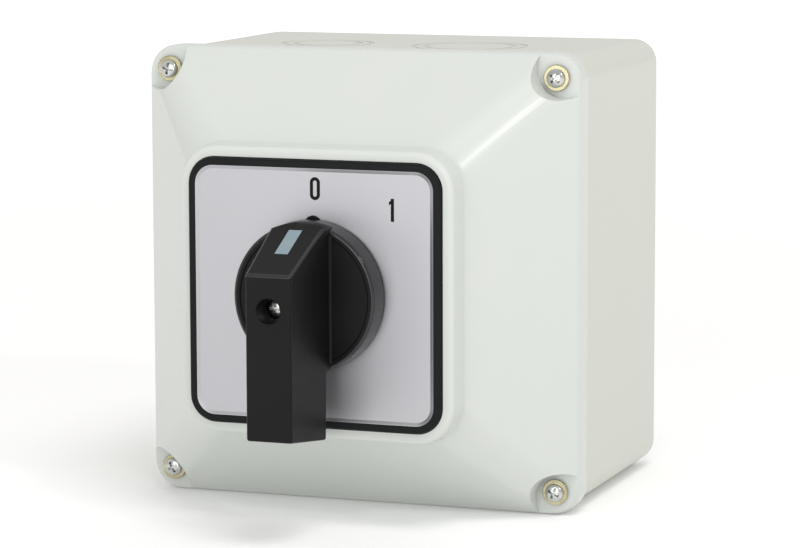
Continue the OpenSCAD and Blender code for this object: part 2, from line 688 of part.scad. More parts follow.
module detent_housing() color(SWITCH) difference() {
    union() {
        slab(Y_STAGES, Y_DETENT) switch_outline();
        rod(SPIGOT_R, Y_DETENT + EPS, Y_DIAL_SEAT);
    }
    rod(DETENT_BORE_R, Y_STAGES + 1, Y_DETENT + DETENT_FLOOR);
    block([-switch_w / 2 + SHELL, Y_DETENT + DETENT_FLOOR, -CARRIER_W / 2 - fit_gap],
        [switch_w / 2 - SHELL, Y_STAGES + 1, CARRIER_W / 2 + fit_gap]);
    rod(JOURNAL_R + run_gap, Y_STAGES, Y_DIAL_SEAT - 1);
    rod(SHAFT_SEAL_R, Y_DIAL_SEAT + SHAFT_SEAL_T, Y_DIAL_SEAT - 1);
    difference() {
        rod(FRONT_SEAL_R, Y_DETENT + FRONT_SEAL_T, Y_DETENT - EPS);
        rod(SPIGOT_R, Y_DETENT + 2, Y_DETENT - 1);
    }
    for (z = [-1, 1])
        rod(DIAL_SCREW_R + run_gap, Y_DETENT + DETENT_FLOOR - 0.5, Y_DETENT - 1, 0, z * dial_screw_z);
    tie_holes(Y_STAGES + 1, Y_DETENT + 4);
}

// A flat ring that seals the housing's spigot against the lid
module front_seal() color(RUBBER) difference() {
    rod(FRONT_SEAL_R, Y_DETENT + FRONT_SEAL_T, Y_DETENT);
    rod(SPIGOT_R, Y_DETENT + 2, Y_DETENT - 1);
}

// A lip ring in the spigot's mouth, round the shaft
module shaft_seal() color(RUBBER) difference() {
    rod(SHAFT_SEAL_R, Y_DIAL_SEAT + SHAFT_SEAL_T, Y_DIAL_SEAT);
    rod(JOURNAL_R + run_gap, Y_DIAL_SEAT + 3, Y_DIAL_SEAT - 1);
}

module shaft_hole() block([-shaft_w / 2 - run_gap, Y_DETENT, -shaft_w / 2 - run_gap],
    [shaft_w / 2 + run_gap, Y_TAIL, shaft_w / 2 + run_gap]);

// Eight waves, with a hollow facing each roller in both positions of the handle
module star_outline() polygon([for (a = [0:3:357])
    let (r = STAR_R - STAR_WAVE * cos(8 * a)) [r * cos(a), r * sin(a)]]);

module detent_star() color(CHARCOAL) difference() {
    union() {
        slab(Y_STAGES - 2, Y_DETENT + DETENT_FLOOR + 1.5) star_outline();
        rod(HUB_R, Y_STAGES - fit_gap, Y_DETENT + DETENT_FLOOR + fit_gap);
    }
    shaft_hole();
}

module both_sides() for (side = [0, 180]) rotate([0, side, 0]) children();

module detent_rollers() color(STEEL) both_sides()
    rod(ROLLER_R, Y_STAGES - 2.2, Y_DETENT + DETENT_FLOOR + 1.7, ROLLER_X);

module detent_carriers() color(BLACK) both_sides() difference() {
    block([ROLLER_X + 0.5, Y_DETENT + DETENT_FLOOR + fit_gap, -CARRIER_W / 2],
        [CARRIER_END, Y_STAGES - fit_gap, CARRIER_W / 2]);
    rod(ROLLER_R + run_gap, Y_STAGES + 1, Y_DETENT, ROLLER_X);
}

module detent_springs() color(STEEL) both_sides()
    translate([CARRIER_END, (Y_STAGES + Y_DETENT + DETENT_FLOOR) / 2, 0]) rotate([0, 90, 0])
        coil_spring(switch_w / 2 - SHELL - CARRIER_END, DETENT_SPRING_R, SPRING_WIRE_R, 3);

// ---- Contact stages ----

function stage_y(i) = Y_STAGES + stage_d * (i - 1);
function stage_mid(i) = stage_y(i) + (stage_d + stage_floor) / 2;

// The upper half as drawn, or the lower half, which is the upper one turned over
module half(lower) rotate([0, lower ? 180 : 0, 0]) children();

module both_halves() for (lower = [false, true]) half(lower) children();

module both_ends() for (side = [-1, 1]) scale_x(side) children();

module scale_x(side) if (side > 0) children(); else mirror([1, 0, 0]) children();

// The hollow of one stage seen from the front
module stage_hollow() {
    circle(CHAMBER_R);
    for (s = [-1, 1]) {
        translate([0, s * (BRIDGE_FLOOR + BRIDGE_ROOF) / 2])
            square([BRIDGE_L + 3, BRIDGE_ROOF - BRIDGE_FLOOR], center = true);
        translate([0, s * (ROOF_Z + FOOT_POCKET_Z) / 2])
            square([PLUNGER_W + 2 * fit_gap, ROOF_Z - FOOT_POCKET_Z], center = true);
    }
}

module stage_housing(i) {
    y = stage_y(i);
    difference() {
        union() {
            slab(y + stage_d, y) switch_outline();
            slab(y + stage_floor, y) square([2 * (CAGE_X + CAGE_L + 1), 2 * CAGE_HIGH], center = true);
        }
        slab(y + stage_d + 1, y + stage_floor) stage_hollow();
        rod(HUB_R + run_gap, y + stage_floor + 1, y - 1);
        both_halves() both_ends() block([FIXED_IN, stage_mid(i) - FIXED_W / 2, FIXED_Z],
            [CAGE_X, stage_mid(i) + FIXED_W / 2, FIXED_Z + FIXED_T]);
        tie_holes(y + stage_d + 1, y - 1);
    }
}

// Distance of the follower's centre from the axis after the handle has turned by an angle
function pitch_r(turn) = follower_z - lift_rate * turn * PI / 180;

// A point of the cam that keeps the follower on that line, found along the pitch curve's normal
function cam_point(turn, start) =
    let (r = pitch_r(turn), gap = follower_r + run_gap, s = sqrt(r * r + lift_rate * lift_rate),
        out = r - gap * r / s, along = -gap * lift_rate / s, a = start + turn)
    [out * cos(a) - along * sin(a), out * sin(a) + along * cos(a)];

module cam_outline() {
    lead = CAM_LEAD;
    high = pitch_r(-lead) - follower_r - run_gap;
    polygon([for (start = [90, 270]) each concat(
        [for (turn = [-lead:5:throw_angle + lead]) cam_point(turn, start)],
        [for (a = [throw_angle + lead + 15:6:175 - lead]) high * [cos(start + a), sin(start + a)]])]);
}

module cam(i) difference() {
    union() {
        slab(stage_mid(i) + CAM_T / 2, stage_mid(i) - CAM_T / 2) cam_outline();
        rod(HUB_R, stage_y(i) + stage_d - fit_gap, stage_y(i) + fit_gap);
    }
    shaft_hole();
}

module plunger(i) {
    front = stage_y(i) + stage_floor + fit_gap;
    back = stage_y(i) + stage_d - fit_gap;
    difference() {
        union() {
            block([-PLUNGER_W / 2, front, follower_z + 2], [PLUNGER_W / 2, back, PLUNGER_TOP]);
            block([-follower_r, stage_mid(i) - FOLLOWER_W / 2, follower_z],
                [follower_r, stage_mid(i) + FOLLOWER_W / 2, follower_z + 3]);
            rod(follower_r, stage_mid(i) + FOLLOWER_W / 2, stage_mid(i) - FOLLOWER_W / 2, 0, follower_z);
        }
        block([-PLUNGER_W, stage_mid(i) - BRIDGE_W / 2 - fit_gap, BRIDGE_Z],
            [PLUNGER_W, stage_mid(i) + BRIDGE_W / 2 + fit_gap, BRIDGE_Z + BRIDGE_T]);
        translate([0, stage_mid(i), BRIDGE_Z + 1]) cylinder(h = switch_h, r = SPRING_HOLE_R);
    }
}

module bridge(i) {
    block([-BRIDGE_L / 2, stage_mid(i) - BRIDGE_W / 2, BRIDGE_Z],
        [BRIDGE_L / 2, stage_mid(i) + BRIDGE_W / 2, BRIDGE_Z + BRIDGE_T]);
    for (x = [-TIP_X, TIP_X]) translate([x, stage_mid(i), BRIDGE_Z - TIP_T]) cylinder(h = TIP_T + EPS, r = TIP_R);
}

module contact_spring(i) translate([0, stage_mid(i), BRIDGE_Z + BRIDGE_T])
    coil_spring(ROOF_Z - BRIDGE_Z - BRIDGE_T, CONTACT_SPRING_R, SPRING_WIRE_R, 4);

module fixed_contacts(i) both_halves() both_ends() {
    block([FIXED_IN, stage_mid(i) - FIXED_W / 2, FIXED_Z],
        [CAGE_X + CAGE_L - 1, stage_mid(i) + FIXED_W / 2, FIXED_Z + FIXED_T]);
    translate([TIP_X, stage_mid(i), FIXED_Z + FIXED_T - EPS]) cylinder(h = TIP_T + EPS, r = TIP_R);
}

module terminal_cages(i) both_halves() both_ends() difference() {
    block([CAGE_X, stage_mid(i) - CAGE_W / 2, CAGE_LOW], [CAGE_X + CAGE_L, stage_mid(i) + CAGE_W / 2, CAGE_HIGH]);
    block([CAGE_X - 1, stage_mid(i) - CAGE_W / 2 + CAGE_SIDE, CAGE_LOW + CAGE_WALL],
        [CAGE_X + CAGE_L + 1, stage_mid(i) + CAGE_W / 2 - CAGE_SIDE, CAGE_HIGH - CAGE_WALL]);
    translate([CAGE_X + CAGE_L / 2, stage_mid(i), CAGE_HIGH - 3]) cylinder(h = 6, r = TERMINAL_SCREW_R + run_gap);
}

module terminal_screws(i) both_halves() both_ends()
    translate([CAGE_X + CAGE_L / 2, stage_mid(i), CAGE_HIGH + TERMINAL_SCREW_UP])
        pan_screw(3.2, 2.2, TERMINAL_SCREW_R, CAGE_HIGH + TERMINAL_SCREW_UP - FIXED_Z - FIXED_T);

module end_plate() color(SWITCH) difference() {
    slab(Y_TAIL, Y_END) switch_outline();
    rod(shaft_w / 2 + run_gap, Y_TAIL - 0.8, Y_END - 1);
    tie_holes(Y_TAIL + 1, Y_END - 1);
}

module tie_bolts() color(STEEL) at_corners(TIE_X, TIE_Z) translate([0, Y_TAIL, 0]) rotate([-90, 0, 0])
    pan_screw(3.6, 2.6, tie_r, Y_TAIL - Y_DETENT - 5);

// ---- Assembly ----

base_box();
post_inserts();
earth_terminal();
earth_screw();
lid();
lid_gasket();
lid_screws();
lid_screw_seals();
frame_gasket();
dial_frame();
dial_plate();
dial_numerals();
dial_screws();
front_seal();
shaft_seal();
handle();
indicator();
handle_screw();
handle_washer();
drive_shaft();
detent_housing();
detent_star();
detent_rollers();
detent_carriers();
detent_springs();
color(SWITCH) stage_housing(1);  // stage_housing_1
color(SWITCH) stage_housing(2);  // stage_housing_2
color("#b5482f") cam(1);  // cam_1
color("#b5482f") cam(2);  // cam_2
color("#e6e1d2") half(false) plunger(1);  // upper_plunger_1
color("#e6e1d2") half(false) plunger(2);  // upper_plunger_2
color("#e6e1d2") half(true) plunger(1);  // lower_plunger_1
color("#e6e1d2") half(true) plunger(2);  // lower_plunger_2
color(BRASS) half(false) bridge(1);  // upper_bridge_1
color(BRASS) half(false) bridge(2);  // upper_bridge_2
color(BRASS) half(true) bridge(1);  // lower_bridge_1
color(BRASS) half(true) bridge(2);  // lower_bridge_2
color(STEEL) half(false) contact_spring(1);  // upper_spring_1
color(STEEL) half(false) contact_spring(2);  // upper_spring_2
color(STEEL) half(true) contact_spring(1);  // lower_spring_1
color(STEEL) half(true) contact_spring(2);  // lower_spring_2
color(BRASS) fixed_contacts(1);  // fixed_contacts_1
color(BRASS) fixed_contacts(2);  // fixed_contacts_2
color(STEEL) terminal_cages(1);  // terminal_cages_1
color(STEEL) terminal_cages(2);  // terminal_cages_2
color(STEEL) terminal_screws(1);  // terminal_screws_1
color(STEEL) terminal_screws(2);  // terminal_screws_2
end_plate();
tie_bolts();
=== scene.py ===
# %% [markdown]
# # A surface-mounted rotary isolator
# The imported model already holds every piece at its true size. This lesson loads it as a fixed frame, gives
# each piece its real surface, and models again, with soft edges, the pieces that the eye meets first: the
# moulded lid and box, the dial and its frame, the lever handle and the screws.

# %% Load the frame
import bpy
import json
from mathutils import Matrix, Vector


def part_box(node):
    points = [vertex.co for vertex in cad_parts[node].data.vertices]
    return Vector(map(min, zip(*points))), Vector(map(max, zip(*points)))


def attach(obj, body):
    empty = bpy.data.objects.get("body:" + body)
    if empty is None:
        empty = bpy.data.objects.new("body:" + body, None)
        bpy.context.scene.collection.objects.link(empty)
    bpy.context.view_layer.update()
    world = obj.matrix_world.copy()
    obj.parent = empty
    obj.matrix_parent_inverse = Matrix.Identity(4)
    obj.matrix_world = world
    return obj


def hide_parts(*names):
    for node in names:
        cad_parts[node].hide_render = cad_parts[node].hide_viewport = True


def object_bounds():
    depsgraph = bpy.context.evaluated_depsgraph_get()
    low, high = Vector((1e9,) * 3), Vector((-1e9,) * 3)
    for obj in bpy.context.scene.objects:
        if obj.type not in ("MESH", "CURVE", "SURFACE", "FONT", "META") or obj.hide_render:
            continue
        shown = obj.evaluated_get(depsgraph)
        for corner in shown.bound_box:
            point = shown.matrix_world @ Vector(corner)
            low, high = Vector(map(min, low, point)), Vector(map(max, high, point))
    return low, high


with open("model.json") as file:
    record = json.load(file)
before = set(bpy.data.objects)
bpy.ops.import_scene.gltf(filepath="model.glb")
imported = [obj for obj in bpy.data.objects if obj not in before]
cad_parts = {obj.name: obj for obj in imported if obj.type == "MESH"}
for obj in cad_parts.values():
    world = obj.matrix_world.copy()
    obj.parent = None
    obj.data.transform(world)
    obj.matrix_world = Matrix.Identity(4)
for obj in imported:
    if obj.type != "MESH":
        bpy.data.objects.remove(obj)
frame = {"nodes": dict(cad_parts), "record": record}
cad_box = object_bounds()

# %% [markdown]
# ## Helpers
# Everything is worked out in millimetres, as the moulder's drawing is, and turned to metres in one place.
# Blender's operators act on whatever is selected, so each step starts by clearing the selection. Two more
# helpers choose vertices or edges by a test on their place, which stays true when a size changes.

# %% Units and selection
import json
import math
import bmesh
import bpy
from mathutils import Matrix, Vector

MM = 0.001
FRONT = (math.radians(90), 0, 0)


def mm(*values):
    """Millimetres as a vector in metres."""
    return Vector(values) * MM


def clear_selection():
    """Leaves no object selected and none in edit mode."""
    if bpy.context.object and bpy.context.object.mode != "OBJECT":
        bpy.ops.object.mode_set(mode="OBJECT")
    bpy.ops.object.select_all(action="DESELECT")


def activate(piece):
    """Makes a piece the only selected and the active object."""
    clear_selection()
    bpy.context.view_layer.objects.active = piece
    piece.select_set(True)


def pick(piece, kind, test):
    """In edit mode, selects the vertices, edges or faces whose every corner passes a test in millimetres."""
    bpy.ops.mesh.select_mode(type=kind)
    mesh = bmesh.from_edit_mesh(piece.data)
    for face in mesh.faces:
        face.select = False
    for edge in mesh.edges:
        edge.select = False
    for vert in mesh.verts:
        vert.select = False
    chosen = {"VERT": mesh.verts, "EDGE": mesh.edges, "FACE": mesh.faces}[kind]
    count = 0
    for part in chosen:
        corners = [part] if kind == "VERT" else part.verts
        if all(test(v.co / MM) for v in corners):
            part.select = True
            count += 1
    mesh.select_flush_mode()
    bmesh.update_edit_mesh(piece.data)
    return count


# %% [markdown]
# ## Lofted plastic shells
# The lid, the box, the frame and the dial are all stacks of rounded squares. Each ring is a plane whose four
# corners are bevelled, so that all rings have the same number of points, and neighbouring rings are joined
# by the bridge operator. A cube with bevelled edges would be quicker, but it keeps one corner radius all the
# way up, and on this lid the radius grows from the rim to the platform.

# %% Loft and cut
CORNER_STEPS = 8
RING_POINTS = 4 * (CORNER_STEPS + 1)


def ring(width, height, radius, y):
    """In edit mode, adds one rounded square across Y, with its middle on the axis."""
    bpy.ops.mesh.primitive_plane_add(size=1, location=mm(0, y, 0), rotation=FRONT)
    bpy.ops.transform.resize(value=(width * MM, 1, height * MM), center_override=mm(0, y, 0))
    bpy.ops.mesh.bevel(offset=radius * MM, segments=CORNER_STEPS, affect="VERTICES", clamp_overlap=False)
    bpy.ops.mesh.delete(type="ONLY_FACE")


def select_points(piece, indices):
    """In edit mode, selects the vertices with those numbers and the edges between them."""
    bpy.ops.mesh.select_mode(type="VERT")
    bpy.ops.mesh.select_all(action="DESELECT")
    mesh = bmesh.from_edit_mesh(piece.data)
    mesh.verts.ensure_lookup_table()
    for index in indices:
        mesh.verts[index].select = True
    mesh.select_flush_mode()
    bmesh.update_edit_mesh(piece.data)


def loft(name, rings):
    """A closed solid through rings of (width, height, corner radius, y), each at its own y."""
    clear_selection()
    piece = bpy.data.objects.new(name, bpy.data.meshes.new(name))
    bpy.context.scene.collection.objects.link(piece)
    activate(piece)
    bpy.ops.object.mode_set(mode="EDIT")
    for number, (width, height, radius, y) in enumerate(rings):
        ring(width, height, radius, y)
        if number:
            select_points(piece, range((number - 1) * RING_POINTS, (number + 1) * RING_POINTS))
            bpy.ops.mesh.bridge_edge_loops()
    for end in (0, len(rings) - 1):
        select_points(piece, range(end * RING_POINTS, (end + 1) * RING_POINTS))
        bpy.ops.mesh.edge_face_add()
    bpy.ops.mesh.select_all(action="SELECT")
    bpy.ops.mesh.normals_make_consistent(inside=False)
    bpy.ops.object.mode_set(mode="OBJECT")
    return piece


def rod(name, radius, y_back, y_front, x=0, z=0, front_radius=None, points=48):
    """A round bar or cone along Y, from y_back forwards to y_front."""
    clear_selection()
    front = radius if front_radius is None else front_radius
    bpy.ops.mesh.primitive_cone_add(
        vertices=points, radius1=radius * MM, radius2=front * MM, depth=(y_back - y_front) * MM,
        location=mm(x, (y_back + y_front) / 2, z), rotation=FRONT)
    piece = bpy.context.object
    piece.name = name
    bpy.ops.object.transform_apply(location=True, rotation=True, scale=True)
    return piece


def block(name, low, high):
    """A box between two corners, in millimetres, as the start of a shape or as a cutter."""
    clear_selection()
    size = Vector(high) - Vector(low)
    bpy.ops.mesh.primitive_cube_add(size=1, location=(Vector(low) + size / 2) * MM, scale=size * MM)
    piece = bpy.context.object
    piece.name = name
    bpy.ops.object.transform_apply(location=True, rotation=True, scale=True)
    return piece


def combine(piece, others, operation="DIFFERENCE"):
    """Cuts the other shapes out of a piece, or joins them to it, and removes them."""
    for other in others:
        activate(piece)
        step = piece.modifiers.new("combine", "BOOLEAN")
        step.operation = operation
        step.solver = "EXACT"
        step.object = other
        bpy.ops.object.modifier_apply(modifier=step.name)
        bpy.data.objects.remove(other)
    return piece


def round_edges(piece, test, radius, steps=3, slot=-1):
    """Rounds the edges whose both ends pass the test, in millimetres. A slot gives the new faces a finish."""
    activate(piece)
    bpy.ops.object.mode_set(mode="EDIT")
    count = pick(piece, "EDGE", test)
    bpy.ops.mesh.bevel(offset=radius * MM, segments=steps, affect="EDGES", clamp_overlap=True, material=slot)
    bpy.ops.object.mode_set(mode="OBJECT")
    return count


def smooth(piece, angle=35):
    """Closes hairline slits left by the cuts, then shades rounded edges soft and large faces flat."""
    activate(piece)
    bpy.ops.object.mode_set(mode="EDIT")
    bpy.ops.mesh.select_all(action="SELECT")
    bpy.ops.mesh.remove_doubles(threshold=0.01 * MM)
    bpy.ops.mesh.dissolve_degenerate(threshold=0.005 * MM)
    bpy.ops.object.mode_set(mode="OBJECT")
    bpy.ops.object.shade_smooth_by_angle(angle=math.radians(angle))
    step = piece.modifiers.new("flat faces", "WEIGHTED_NORMAL")
    step.keep_sharp = True
    step.weight = 100
    bpy.ops.object.modifier_apply(modifier=step.name)
    return piece


def measure(piece):
    """Prints a piece's size in millimetres and its number of faces."""
    size = piece.dimensions / MM
    print(f"{piece.name}: {size.x:.1f} x {size.y:.1f} x {size.z:.1f} mm, {len(piece.data.polygons)} faces")


# %% [markdown]
# ## Planes and centres
# The lid's box gives the seam and the platform's face, and the handle's box gives the lever's front. The few
# sizes below them are the moulding's own, as the drawing of the part has them.

# %% Sizes from the frame
lid_low, lid_high = (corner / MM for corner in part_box("lid"))
handle_low, handle_high = (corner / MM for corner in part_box("handle"))
frame_low, frame_high = (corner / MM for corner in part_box("dial_frame"))
LID_W = lid_high.x - lid_low.x
LID_R = 9.5
Y_SEAM = lid_high.y
Y_RIM = Y_SEAM - 8.3
Y_FACE = lid_low.y
Y_FOOT = Y_FACE + 10.4
Y_INSIDE = Y_FACE + 3.2
OVERHANG = lid_high.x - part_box("base_box")[1].x / MM
BOX_W = LID_W - 2 * OVERHANG
WALL = 3.0
FLOOR = 3.2
FRAME_W = frame_high.x - frame_low.x
FRAME_R = 8.7
FRAME_RIM = 2.5
PLATFORM_RIM, PLATFORM_DRAFT = 4.4, 0.7
PLATFORM_W = FRAME_W + 2 * PLATFORM_RIM
PLATFORM_R = 13.5
SCREW_INSET = 8.05
SCREW_X = LID_W / 2 - SCREW_INSET
SPIGOT_HOLE_R = 8.5
DIAL_SCREW_Z = 22.9
print(f"seam {Y_SEAM:.1f}, face {Y_FACE:.1f}, lid {LID_W:.1f} wide, frame {FRAME_W:.1f} wide")

# %% [markdown]
# ## The lid
# The real lid is one injection moulding: a skirt, four sloping faces like a low pyramid and a raised
# platform for the dial. It is lofted from four rings, and then its edges are rounded as the tool's are.
# The hollow, the seal groove, the corner pockets and the holes are cut out afterwards, because a cut keeps
# the walls true where a thickness modifier would round the inside off.

# %% Lid shell
SEAL_OUT = OVERHANG + 0.5
SEAL_IN = SEAL_OUT + 2
SKIRT_IN = SEAL_IN + 1.5
POCKET_R, POCKET_SHIFT, POCKET_SKIN, POCKET_FLARE, POCKET_REACH = 9.9, 3.1, 1.8, 1.0, 20.0
Y_POCKET = Y_RIM - 0.6
EDGE_RIM, EDGE_PLATFORM, EDGE_FOOT, EDGE_MOUTH = 1.7, 1.6, 0.9, 0.35
COLUMN_R, LID_SCREW_HOLE_R, DIAL_SCREW_HOLE_R = 6.5, 2.8, 3.1
GROOVE_DEPTH, SEAT_DEPTH, SEAT_GAP = 4.5, 1.0, 0.35


def at_corners(reach=SCREW_X):
    """The four corner places of the lid screws, as pairs of X and Z."""
    return [(x * reach, z * reach) for x in (-1, 1) for z in (-1, 1)]


def on_plane(y):
    """A test for edges that lie on one plane across Y."""
    return lambda v: abs(v.y - y) < 0.02


def inset_ring(inset, y):
    """One ring of the lid's outline, drawn in by an inset round the same corner centres."""
    return (LID_W - 2 * inset, LID_W - 2 * inset, LID_R - inset, y)


def moat(name, inset_out, inset_in, y_back, y_front):
    """A closed wall between two insets of the lid's outline."""
    wall = loft(name, [inset_ring(inset_out, y_back), inset_ring(inset_out, y_front)])
    middle = loft("middle", [inset_ring(inset_in, y_back + 1), inset_ring(inset_in, y_front - 1)])
    return combine(wall, [middle])


def pockets(wall=0.0):
    """Cutters for the corner pockets, grown all round by a wall."""
    return [rod("pocket", POCKET_R + wall, Y_POCKET + wall, Y_POCKET - POCKET_REACH, x, z,
                POCKET_R + POCKET_FLARE + wall, 96) for x, z in at_corners(SCREW_X + POCKET_SHIFT)]


def on_pocket_mouth(v):
    """True on the front edge of a corner pocket's wall."""
    reach = math.hypot(abs(v.x) - SCREW_X - POCKET_SHIFT, abs(v.z) - SCREW_X - POCKET_SHIFT)
    flared = POCKET_R + POCKET_FLARE * (Y_POCKET - v.y) / POCKET_REACH
    return abs(reach - flared) < 0.03 and v.y < Y_POCKET - 1.2


def model_lid():
    platform_top = PLATFORM_W - 2 * PLATFORM_DRAFT
    lid = loft("lid_shell", [
        inset_ring(0, Y_SEAM), inset_ring(0, Y_RIM),
        (PLATFORM_W, PLATFORM_W, PLATFORM_R, Y_FOOT),
        (platform_top, platform_top, PLATFORM_R - PLATFORM_DRAFT, Y_FACE)])
    round_edges(lid, on_plane(Y_SEAM), 0.4, 2)
    round_edges(lid, on_plane(Y_RIM), EDGE_RIM, 5)
    round_edges(lid, on_plane(Y_FOOT), EDGE_FOOT, 4)
    round_edges(lid, on_plane(Y_FACE), EDGE_PLATFORM, 6)
    combine(lid, pockets())
    print("pocket mouth edges rounded:", round_edges(lid, on_pocket_mouth, EDGE_MOUTH, 3))
    hollow = loft("hollow", [
        inset_ring(SKIRT_IN, Y_SEAM + 1), inset_ring(SKIRT_IN, Y_RIM),
        (PLATFORM_W - 2 * SKIRT_IN, PLATFORM_W - 2 * SKIRT_IN, PLATFORM_R - SKIRT_IN, Y_FOOT + 1.8),
        (PLATFORM_W - 2 * SKIRT_IN, PLATFORM_W - 2 * SKIRT_IN, PLATFORM_R - SKIRT_IN, Y_INSIDE)])
    combine(hollow, [rod("column", COLUMN_R, Y_SEAM + 2, Y_POCKET, x, z) for x, z in at_corners()])
    combine(hollow, pockets(POCKET_SKIN))
    seat_w, seat_r = FRAME_W + 2 * SEAT_GAP, FRAME_R + SEAT_GAP
    cuts = [hollow, moat("groove", SEAL_OUT, SEAL_IN, Y_SEAM + 1, Y_SEAM - GROOVE_DEPTH),
            loft("gasket_seat", [(seat_w, seat_w, seat_r, Y_FACE + SEAT_DEPTH),
                                 (seat_w, seat_w, seat_r, Y_FACE - 1)]),
            rod("spigot_hole", SPIGOT_HOLE_R, Y_INSIDE + 1, Y_FACE - 2)]
    cuts += [rod("screw_hole", LID_SCREW_HOLE_R, Y_SEAM + 1, Y_POCKET - 1, x, z) for x, z in at_corners()]
    cuts += [rod("dial_screw_hole", DIAL_SCREW_HOLE_R, Y_INSIDE + 1, Y_FACE - 2, 0, z)
             for z in (-DIAL_SCREW_Z, DIAL_SCREW_Z)]
    return combine(lid, cuts)


lid = smooth(model_lid())
measure(lid)

# %% [markdown]
# ## The box
# The box is a deeper shell of the same outline, drawn in under the lid's lip. Its posts, bosses and earth pad
# are joined to the floor, and the knockouts for the cable entries are thin rings cut into the top and bottom
# walls, so a hammer blow breaks the disc out cleanly.

# %% Box shell
POST_R = 6.0
ENTRY_Y = Y_SEAM / 2 - 9.4
ENTRIES = [(-28.5, 16.25), (24.0, 20.25)]
ENTRY_STEP, RING_WIDTH, RING_DEPTH = 4, 1.4, 0.5
BOSS_R, BOSS_H, BOSS_X, WALL_HOLE_R = 6, 3, 55, 2.6
INSERT_HOLE_R, INSERT_DEPTH, EARTH_HOLE_R, EARTH_Z = 3.5, 12, 1.9, -46
TONGUE_OUT, TONGUE_IN, TONGUE_H = 0.7, 2.3, 2.5


def knockout_ring(x, z_out, radius):
    """A shallow ring cutter lying on the top or bottom wall."""
    rings = []
    for size in (radius, radius - RING_WIDTH):
        clear_selection()
        bpy.ops.mesh.primitive_cylinder_add(vertices=72, radius=size * MM, depth=RING_DEPTH * MM,
                                            location=mm(x, ENTRY_Y, z_out))
        rings.append(bpy.context.object)
    bpy.ops.transform.resize(value=(1, 1, 1.5))
    for piece in rings:
        activate(piece)
        bpy.ops.object.transform_apply(location=True, rotation=True, scale=True)
    return combine(rings[0], [rings[1]])


def model_box():
    box = loft("box_shell", [inset_ring(OVERHANG, 0), inset_ring(OVERHANG, Y_SEAM)])
    round_edges(box, on_plane(0), 0.9, 4)
    round_edges(box, on_plane(Y_SEAM), 0.3, 2)
    cavity = loft("cavity", [inset_ring(OVERHANG + WALL, -FLOOR), inset_ring(OVERHANG + WALL, Y_SEAM - 1)])
    round_edges(cavity, on_plane(-FLOOR), 1.5, 4)
    combine(box, [cavity])
    joined = [rod("post", POST_R, -1, Y_SEAM + 0.05, x, z) for x, z in at_corners()]
    joined.append(moat("tongue", OVERHANG + TONGUE_OUT, OVERHANG + TONGUE_IN, Y_SEAM + 0.3,
                       Y_SEAM - TONGUE_H))
    joined += [rod("boss", BOSS_R, -1, -FLOOR - BOSS_H, x, z) for x, z in at_corners(BOSS_X)]
    joined.append(block("earth_pad", (-14, -FLOOR - 4, -55), (14, -1, -37)))
    combine(box, joined, "UNION")
    cuts = [rod("insert_hole", INSERT_HOLE_R, Y_SEAM + INSERT_DEPTH, Y_SEAM - 3, x, z)
            for x, z in at_corners()]
    cuts += [rod("wall_hole", WALL_HOLE_R, 1, -FLOOR - BOSS_H - 1, x, z) for x, z in at_corners(BOSS_X)]
    cuts.append(rod("earth_screw_hole", EARTH_HOLE_R, -1.5, -20, 0, EARTH_Z))
    for side in (-1, 1):
        for x, radius in ENTRIES:
            cuts += [knockout_ring(x, side * BOX_W / 2, radius - step) for step in (0, ENTRY_STEP)]
    return combine(box, cuts)


box = smooth(model_box())
measure(box)

# %% [markdown]
# ## The dial and its frame
# The frame is a moulded tray and the dial is a thin pressed sheet that lies in it, with a lip turned up all
# round. A scaled plane with a picture of the dial would look flat, because it is the small sloping lip that
# catches the light.

# %% Dial frame and dial plate
DIAL_W = FRAME_W - 2 * FRAME_RIM
DIAL_R = FRAME_R - FRAME_RIM
Y_FRAME = frame_low.y
Y_DIAL_SEAT = Y_FACE - 0.5
Y_DIAL = Y_DIAL_SEAT - 0.5
LIP_W, LIP_H = 1.1, 0.4


def dial_holes(screw_hole_r):
    """Cutters for the shaft's spigot and the two screws that clamp the switch to the lid."""
    holes = [rod("spigot_hole", SPIGOT_HOLE_R, Y_FACE + 1, Y_FRAME - 1)]
    return holes + [rod("dial_hole", screw_hole_r, Y_FACE + 1, Y_FRAME - 1, 0, z)
                    for z in (-DIAL_SCREW_Z, DIAL_SCREW_Z)]


def model_frame():
    tray = loft("dial_surround", [(FRAME_W, FRAME_W, FRAME_R, Y_FACE), (FRAME_W, FRAME_W, FRAME_R, Y_FRAME)])
    round_edges(tray, on_plane(Y_FRAME), 0.7, 4)
    well = loft("well", [(DIAL_W, DIAL_W, DIAL_R, Y_DIAL_SEAT), (DIAL_W, DIAL_W, DIAL_R, Y_FRAME - 1)])
    combine(tray, [well] + dial_holes(3.0))
    inner_rim = lambda v: abs(v.y - Y_FRAME) < 0.02 and max(abs(v.x), abs(v.z)) < DIAL_W / 2 + 0.02
    round_edges(tray, inner_rim, 0.25, 2)
    return tray


def model_dial():
    plate = loft("dial_face", [
        (DIAL_W, DIAL_W, DIAL_R, Y_DIAL_SEAT), (DIAL_W, DIAL_W, DIAL_R, Y_DIAL - LIP_H),
        (DIAL_W - 0.3, DIAL_W - 0.3, DIAL_R - 0.15, Y_DIAL - LIP_H + 0.02),
        (DIAL_W - 2 * LIP_W, DIAL_W - 2 * LIP_W, DIAL_R - LIP_W, Y_DIAL)])
    return combine(plate, dial_holes(3.2))


tray, plate = smooth(model_frame()), smooth(model_dial(), 12)
measure(tray)
measure(plate)

# %% [markdown]
# ## The handle
# The handle is one black moulding: a round disc over the dial and a square-cut lever with a sloping top.
# The lever starts as a block. Its back is widened for the draft that lets it leave the tool, its front is
# shortened at both ends, and then every outer edge is rounded by a bevel modifier before it joins the disc.
# Two thin bars fill the corners where the lever meets the disc, so the stress spreads over a small chamfer.

